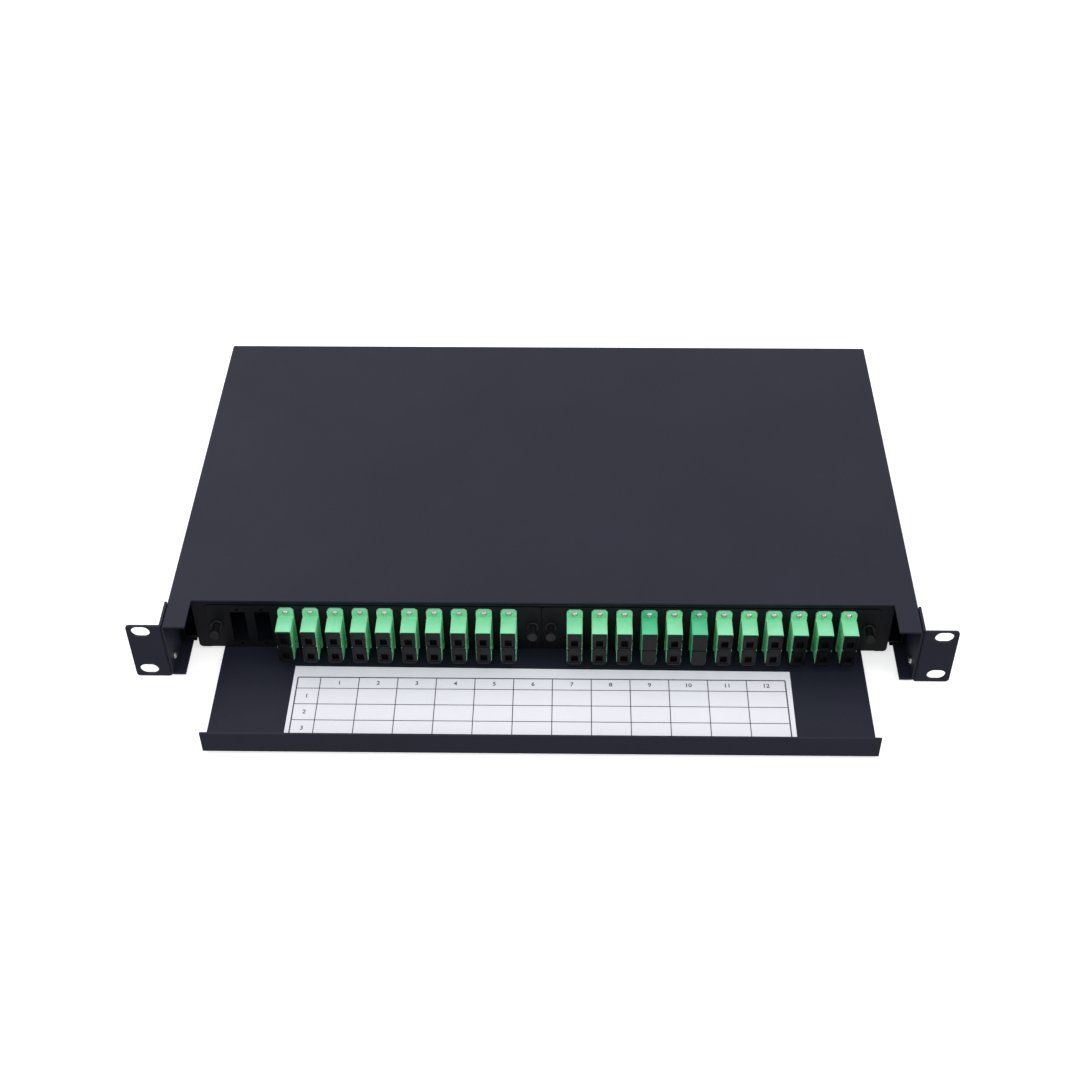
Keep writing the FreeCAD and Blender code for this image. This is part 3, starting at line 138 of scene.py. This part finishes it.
# ----------------------------------------------------------------- materials
def powder_coat(name, dark, light, low_rough, high_rough):
    """Fine-textured paint: orange-peel bumps, soft tone drift and handling marks."""
    g = Graph(name)
    drift = g.remap(g.noise(0.09, 2.0), 0.3, 0.7, 0.0, 1.0)
    speck = g.remap(g.noise(0.0011, 1.0), 0.35, 0.65, 0.0, 1.0)
    blend = g.sums(g.sums(drift, 0.6, "MULTIPLY"), g.sums(speck, 0.4, "MULTIPLY"))
    g.colour(g.mixed(blend, dark, light))
    smudge = g.noise(0.035, 4.0, 0.6, 0.8)
    g.roughness(g.remap(smudge, 0.3, 0.7, low_rough, high_rough))
    peel = g.sums(g.sums(g.noise(0.0016, 2.0, 0.5), 0.7, "MULTIPLY"),
                  g.sums(g.noise(0.0006, 1.0), 0.3, "MULTIPLY"))
    g.bump(peel, 0.00006, 0.6)
    g.fixed(Specular_IOR_Level=0.22)
    return g.material


def plastic(name, dark, light, low_rough, high_rough,
            grain=0.0009, depth=0.00002, specular=0.5):
    """Moulded plastic: slight tone drift and a fine spark-eroded grain."""
    g = Graph(name)
    drift = g.remap(g.noise(0.012, 3.0, 0.55), 0.3, 0.7, 0.0, 1.0)
    g.colour(g.mixed(drift, dark, light))
    g.roughness(g.remap(g.noise(0.006, 3.0, 0.6, 0.5), 0.3, 0.7, low_rough, high_rough))
    g.bump(g.noise(grain, 2.0), depth, 0.5)
    g.fixed(Specular_IOR_Level=specular)
    return g.material


def plated(name, dark, light, low_rough, high_rough, stretch, depth=0.000015):
    """Plated steel: drawn lines along the part and clouded brightness."""
    g = Graph(name)
    cloud = g.remap(g.noise(0.02, 4.0, 0.6, 0.6), 0.3, 0.7, 0.0, 1.0)
    g.colour(g.mixed(cloud, dark, light))
    lines = g.noise(0.004, 3.0, 0.6, 0.0, stretch)
    g.roughness(g.remap(lines, 0.3, 0.7, low_rough, high_rough))
    g.bump(lines, depth, 0.5)
    g.fixed(Metallic=1.0)
    return g.material


def paper(name):
    g = Graph(name)
    fibre = g.noise(0.0012, 4.0, 0.6, 0.4)
    tone = g.remap(g.noise(0.08, 2.0), 0.3, 0.7, 0.0, 1.0)
    g.colour(g.mixed(tone, (0.90, 0.90, 0.97), (0.95, 0.95, 1.0)))
    g.roughness(g.remap(fibre, 0.3, 0.7, 0.55, 0.7))
    g.bump(fibre, 0.00001, 0.4)
    # Bluish emission: a painted glow that makes the card brighter than its light alone gives.
    g.fixed(Specular_IOR_Level=0.3, Emission_Color=(0.75, 0.78, 1.0, 1.0), Emission_Strength=0.10)
    return g.material


def ink(name):
    g = Graph(name)
    g.colour(g.mixed(g.noise(0.0015, 3.0, 0.6), (0.05, 0.05, 0.06), (0.11, 0.11, 0.13)))
    g.roughness(g.remap(g.noise(0.001, 2.0), 0.3, 0.7, 0.6, 0.75))
    return g.material


def clear(name):
    g = Graph(name)
    haze = g.noise(0.03, 3.0, 0.6, 0.6)
    g.colour(g.mixed(haze, (0.86, 0.90, 0.92), (0.93, 0.96, 0.97)))
    g.roughness(g.remap(haze, 0.3, 0.7, 0.12, 0.24))
    g.fixed(Alpha=0.35)
    return g.material


COAT = powder_coat("coat", (0.0150, 0.0165, 0.0310), (0.0195, 0.0212, 0.0385), 0.475, 0.525)
# Lighter coat for bevel faces: a painted highlight along the sheet-metal edges.
COAT_EDGE_HIGHLIGHT = powder_coat("coat_edge_painted_highlight", (0.018, 0.019, 0.027), (0.042, 0.044, 0.058), 0.38, 0.50)
# The shell's black coat made darker: painted shade for the vertical plates and frame, which sit
# in shadow.
PLATE_PAINTED_SHADE = powder_coat("plate_coat_painted_shade", (0.0040, 0.0043, 0.0062), (0.0062, 0.0066, 0.0090), 0.50, 0.62)
GREEN = plastic("green_plastic", (0.275, 0.875, 0.480), (0.330, 0.945, 0.540), 0.20, 0.30)
TEAL = plastic("teal_plastic", (0.095, 0.660, 0.330), (0.125, 0.730, 0.380), 0.26, 0.36)
CAP = plastic("cap_plastic", (0.0030, 0.0032, 0.0044), (0.0052, 0.0055, 0.0072),
              0.38, 0.52, specular=0.28)
NYLON = plastic("nylon", (0.0045, 0.0046, 0.0058), (0.0080, 0.0082, 0.0098),
                0.38, 0.52, specular=0.35)
RUBBER = plastic("rubber", (0.010, 0.010, 0.011), (0.020, 0.020, 0.021),
                 0.66, 0.82, 0.0014, 0.00004, 0.35)
TRAY = plastic("tray_plastic", (0.50, 0.50, 0.48), (0.60, 0.60, 0.57), 0.36, 0.50)
SPOOL = plastic("spool_plastic", (0.009, 0.009, 0.010), (0.016, 0.016, 0.018), 0.36, 0.50)
ZINC = plated("zinc", (0.40, 0.41, 0.43), (0.62, 0.63, 0.65), 0.26, 0.42, (0.15, 1.0, 1.0))
SCREW = plated("screw", (0.62, 0.62, 0.60), (0.84, 0.84, 0.81), 0.16, 0.28, (1.0, 1.0, 1.0))
SLIDE = powder_coat("slide_coat", (0.0035, 0.0036, 0.0045), (0.0060, 0.0062, 0.0075), 0.40, 0.55)
# The card material carries a painted glow through its emission.
CARD_PAINTED_GLOW = paper("card")
INK = ink("ink")
CLEAR = clear("clear_lid")

SLOT_LOOKS = {
    "powder_coat": COAT, "zinc_steel": ZINC, "bright_screw": SCREW, "green_plastic": GREEN,
    "teal_plastic": TEAL, "black_cap": CAP, "black_nylon": NYLON, "rubber": RUBBER,
    "paper": CARD_PAINTED_GLOW, "black_steel": SLIDE, "tray_plastic": TRAY,
    "spool_plastic": SPOOL, "clear_plastic": CLEAR,
}


# ------------------------------------------------------- finish on CAD nodes
WELD_GAP, SHARP_DEGREES, FLAT_DEGREES = 0.000002, 40, 0.3


def soften(part, width, highlight_material=None, segments=2):
    """Real edges are never knife sharp, so they catch the light. An optional highlight material
    paints the bevel faces lighter: a painted edge highlight.
    """
    weld = part.modifiers.new("weld", "WELD")
    weld.merge_threshold = WELD_GAP
    if highlight_material:
        flat = part.modifiers.new("flat", "DECIMATE")
        flat.decimate_type = "DISSOLVE"
        flat.angle_limit = math.radians(FLAT_DEGREES)
    bevel = part.modifiers.new("bevel", "BEVEL")
    bevel.width = width
    bevel.segments = segments
    bevel.limit_method = "ANGLE"
    bevel.angle_limit = math.radians(SHARP_DEGREES)
    bevel.use_clamp_overlap = True
    bevel.miter_outer = "MITER_SHARP"
    bevel.harden_normals = False
    # Bevel faces take the lighter coat: a painted edge highlight.
    if highlight_material:
        part.data.materials.append(highlight_material)
        bevel.material = len(part.data.materials) - 1
    normals = part.modifiers.new("normals", "WEIGHTED_NORMAL")
    normals.keep_sharp = True


EDGE_WIDTHS = {
    "housing_shell": 0.30, "rear_panel": 0.25, "drawer_pan": 0.25, "front_frame": 0.20,
    "ear_left": 0.25, "ear_right": 0.25, "adapter_plate_left": 0.15, "adapter_plate_right": 0.15,
    "label_card": 0.0,
}
DEFAULT_EDGE = 0.12
# Plates and frame share the shell's coat; they get the darker copy as painted shade.
PAINTED_SHADE_NODES = {"adapter_plate_left", "adapter_plate_right", "front_frame"}

for name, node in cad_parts.items():
    slot = node.data.materials[0].name.split(".")[0]
    node.data.materials[0] = PLATE_PAINTED_SHADE if name in PAINTED_SHADE_NODES else SLOT_LOOKS[slot]
    width = EDGE_WIDTHS.get(name, DEFAULT_EDGE)
    if width:
        soften(node, width * MM, COAT_EDGE_HIGHLIGHT if slot == "powder_coat" else None)


# ------------------------------------------------------------ printed card
PRINT_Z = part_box("label_card")[1].z
PRINT_THICK = 0.03 * MM
TABLE_LEFT, TABLE_TOP = -144.4, -2.8
FIRST_COLUMN, COLUMN, COLUMNS = 13.6, 22.9, 12
HEADER, ROW, ROWS = 8.65, 12.2, 3
LINE, BORDER = 0.52, 0.78
DIGIT_HEIGHT, DIGIT_SIZE, DIGIT_BOLD = 2.9, 1.42, 0.07


def table_x(column):
    """Left edge of a column in millimetres; column 0 holds the row numbers."""
    return TABLE_LEFT + (FIRST_COLUMN + COLUMN * (column - 1) if column else 0.0)


def table_y(row):
    return TABLE_TOP - (HEADER + ROW * (row - 1) if row else 0.0)


def strip(mesh, x0, x1, y0, y1):
    """A thin printed bar."""
    lows, highs = (x0 * MM, y0 * MM, PRINT_Z), (x1 * MM, y1 * MM, PRINT_Z + PRINT_THICK)
    made = bmesh.ops.create_cube(mesh, size=1.0)["verts"]
    for vertex in made:
        vertex.co = Vector(b if c > 0 else a for a, b, c in zip(lows, highs, vertex.co))


def printed(name, mesh):
    piece = bpy.data.objects.new(name, mesh)
    bpy.context.scene.collection.objects.link(piece)
    mesh.materials.clear()
    mesh.materials.append(INK)
    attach(piece, "drawer")
    return piece


def make_grid():
    lines = bmesh.new()
    right, bottom = table_x(COLUMNS + 1), table_y(ROWS + 1)
    for row in range(ROWS + 2):
        half = (BORDER if row in (0, ROWS + 1) else LINE) / 2
        strip(lines, TABLE_LEFT, right, table_y(row) - half, table_y(row) + half)
    for column in range(COLUMNS + 2):
        half = (BORDER if column in (0, COLUMNS + 1) else LINE) / 2
        strip(lines, table_x(column) - half, table_x(column) + half, bottom, TABLE_TOP)
    mesh = bpy.data.meshes.new("label_grid")
    lines.to_mesh(mesh)
    lines.free()
    printed("label_grid", mesh)


def number(text, x, y, height):
    curve = bpy.data.curves.new("number", "FONT")
    curve.body = text
    curve.size = height * MM * DIGIT_SIZE
    curve.align_x, curve.align_y = "CENTER", "CENTER"
    curve.extrude = PRINT_THICK / 2
    curve.resolution_u = 4
    curve.offset = DIGIT_BOLD * MM
    piece = bpy.data.objects.new("number", curve)
    bpy.context.scene.collection.objects.link(piece)
    piece.location = (x * MM, y * MM, PRINT_Z + PRINT_THICK / 2)
    return piece


def make_numbers():
    middles = [(str(i), table_x(i) + COLUMN / 2, TABLE_TOP - HEADER / 2)
               for i in range(1, COLUMNS + 1)]
    middles += [(str(i), TABLE_LEFT + FIRST_COLUMN / 2, table_y(i) - ROW / 2)
                for i in range(1, ROWS + 1)]
    texts = [number(*middle, DIGIT_HEIGHT) for middle in middles]
    bpy.context.view_layer.update()
    whole = bmesh.new()
    for text in texts:
        mesh = bpy.data.meshes.new_from_object(text)
        mesh.transform(text.matrix_world)
        whole.from_mesh(mesh)
        bpy.data.meshes.remove(mesh)
        bpy.data.objects.remove(text)
    mesh = bpy.data.meshes.new("label_numbers")
    whole.to_mesh(mesh)
    whole.free()
    printed("label_numbers", mesh)


make_grid()
make_numbers()


# -------------------------------------------------------- floor, light, view
SKY_LOW, SKY_HIGH = 0.42, 0.86
FLOOR_REACH, FLOOR_GAP = 40.0, 0.0002


def make_floor():
    mesh = bpy.data.meshes.new("floor")
    level = CAD_LOW.z - FLOOR_GAP
    corners = [(x * FLOOR_REACH, y * FLOOR_REACH, level)
               for x, y in ((-1, -1), (1, -1), (1, 1), (-1, 1))]
    mesh.from_pydata(corners, [], [(0, 1, 2, 3)])
    floor = bpy.data.objects.new("floor", mesh)
    bpy.context.scene.collection.objects.link(floor)
    g = Graph("floor")
    g.colour(g.mixed(g.noise(0.5), (0.86, 0.86, 0.86), (0.88, 0.88, 0.88)))
    g.roughness(g.remap(g.noise(0.02), 0.3, 0.7, 0.75, 0.9))
    g.fixed(Specular_IOR_Level=0.2, Emission_Color=(1.0, 1.0, 1.0, 1.0), Emission_Strength=0.62)
    mesh.materials.append(g.material)
    floor.visible_diffuse = False
    floor.visible_glossy = False


def area_light(name, place, target, size, radiance, colour=(1.0, 1.0, 1.0)):
    data = bpy.data.lights.new(name, "AREA")
    data.shape = "RECTANGLE"
    data.size, data.size_y = size
    data.energy = radiance * math.pi * size[0] * size[1]
    data.color = colour
    lamp = bpy.data.objects.new(name, data)
    bpy.context.scene.collection.objects.link(lamp)
    lamp.location = place
    lamp.rotation_mode = "QUATERNION"
    lamp.rotation_quaternion = (Vector(target) - Vector(place)).to_track_quat("-Z", "Y")


def make_world():
    """White studio that is bright above and dim below the floor line."""
    world = bpy.data.worlds.new("studio")
    world.use_nodes = True
    nodes, links = world.node_tree.nodes, world.node_tree.links
    sky = nodes["Background"]
    sky.inputs["Strength"].default_value = 1.0
    where = nodes.new("ShaderNodeTexCoord")
    split = nodes.new("ShaderNodeSeparateXYZ")
    height = nodes.new("ShaderNodeMapRange")
    for socket, level in (("From Min", -0.05), ("From Max", 0.15),
                          ("To Min", SKY_LOW), ("To Max", SKY_HIGH)):
        height.inputs[socket].default_value = level
    links.new(where.outputs["Generated"], split.inputs[0])
    links.new(split.outputs["Z"], height.inputs["Value"])
    links.new(height.outputs["Result"], sky.inputs["Color"])
    bpy.context.scene.world = world


def make_camera():
    data = bpy.data.cameras.new("camera")
    data.lens, data.sensor_width = 53.571, 36.0
    data.clip_start, data.clip_end = 0.01, 50.0
    camera = bpy.data.objects.new("camera", data)
    bpy.context.scene.collection.objects.link(camera)
    camera.location = (0.01648, -0.64676, 0.7009)
    camera.rotation_euler = [math.radians(a) for a in (46.499, 0.3195, 0.8649)]
    bpy.context.scene.camera = camera


make_floor()
make_world()
area_light("left_back_softbox", (-1.1, 1.1, 1.3), (0.0, 0.15, 0.0), (1.3, 1.0), 1.0)
area_light("right_softbox", (1.5, -0.4, 1.2), (0.0, 0.05, 0.0), (1.0, 1.3), 1.2)
make_camera()

scene = bpy.context.scene
scene.view_settings.view_transform = "Standard"
scene.view_settings.look = "None"
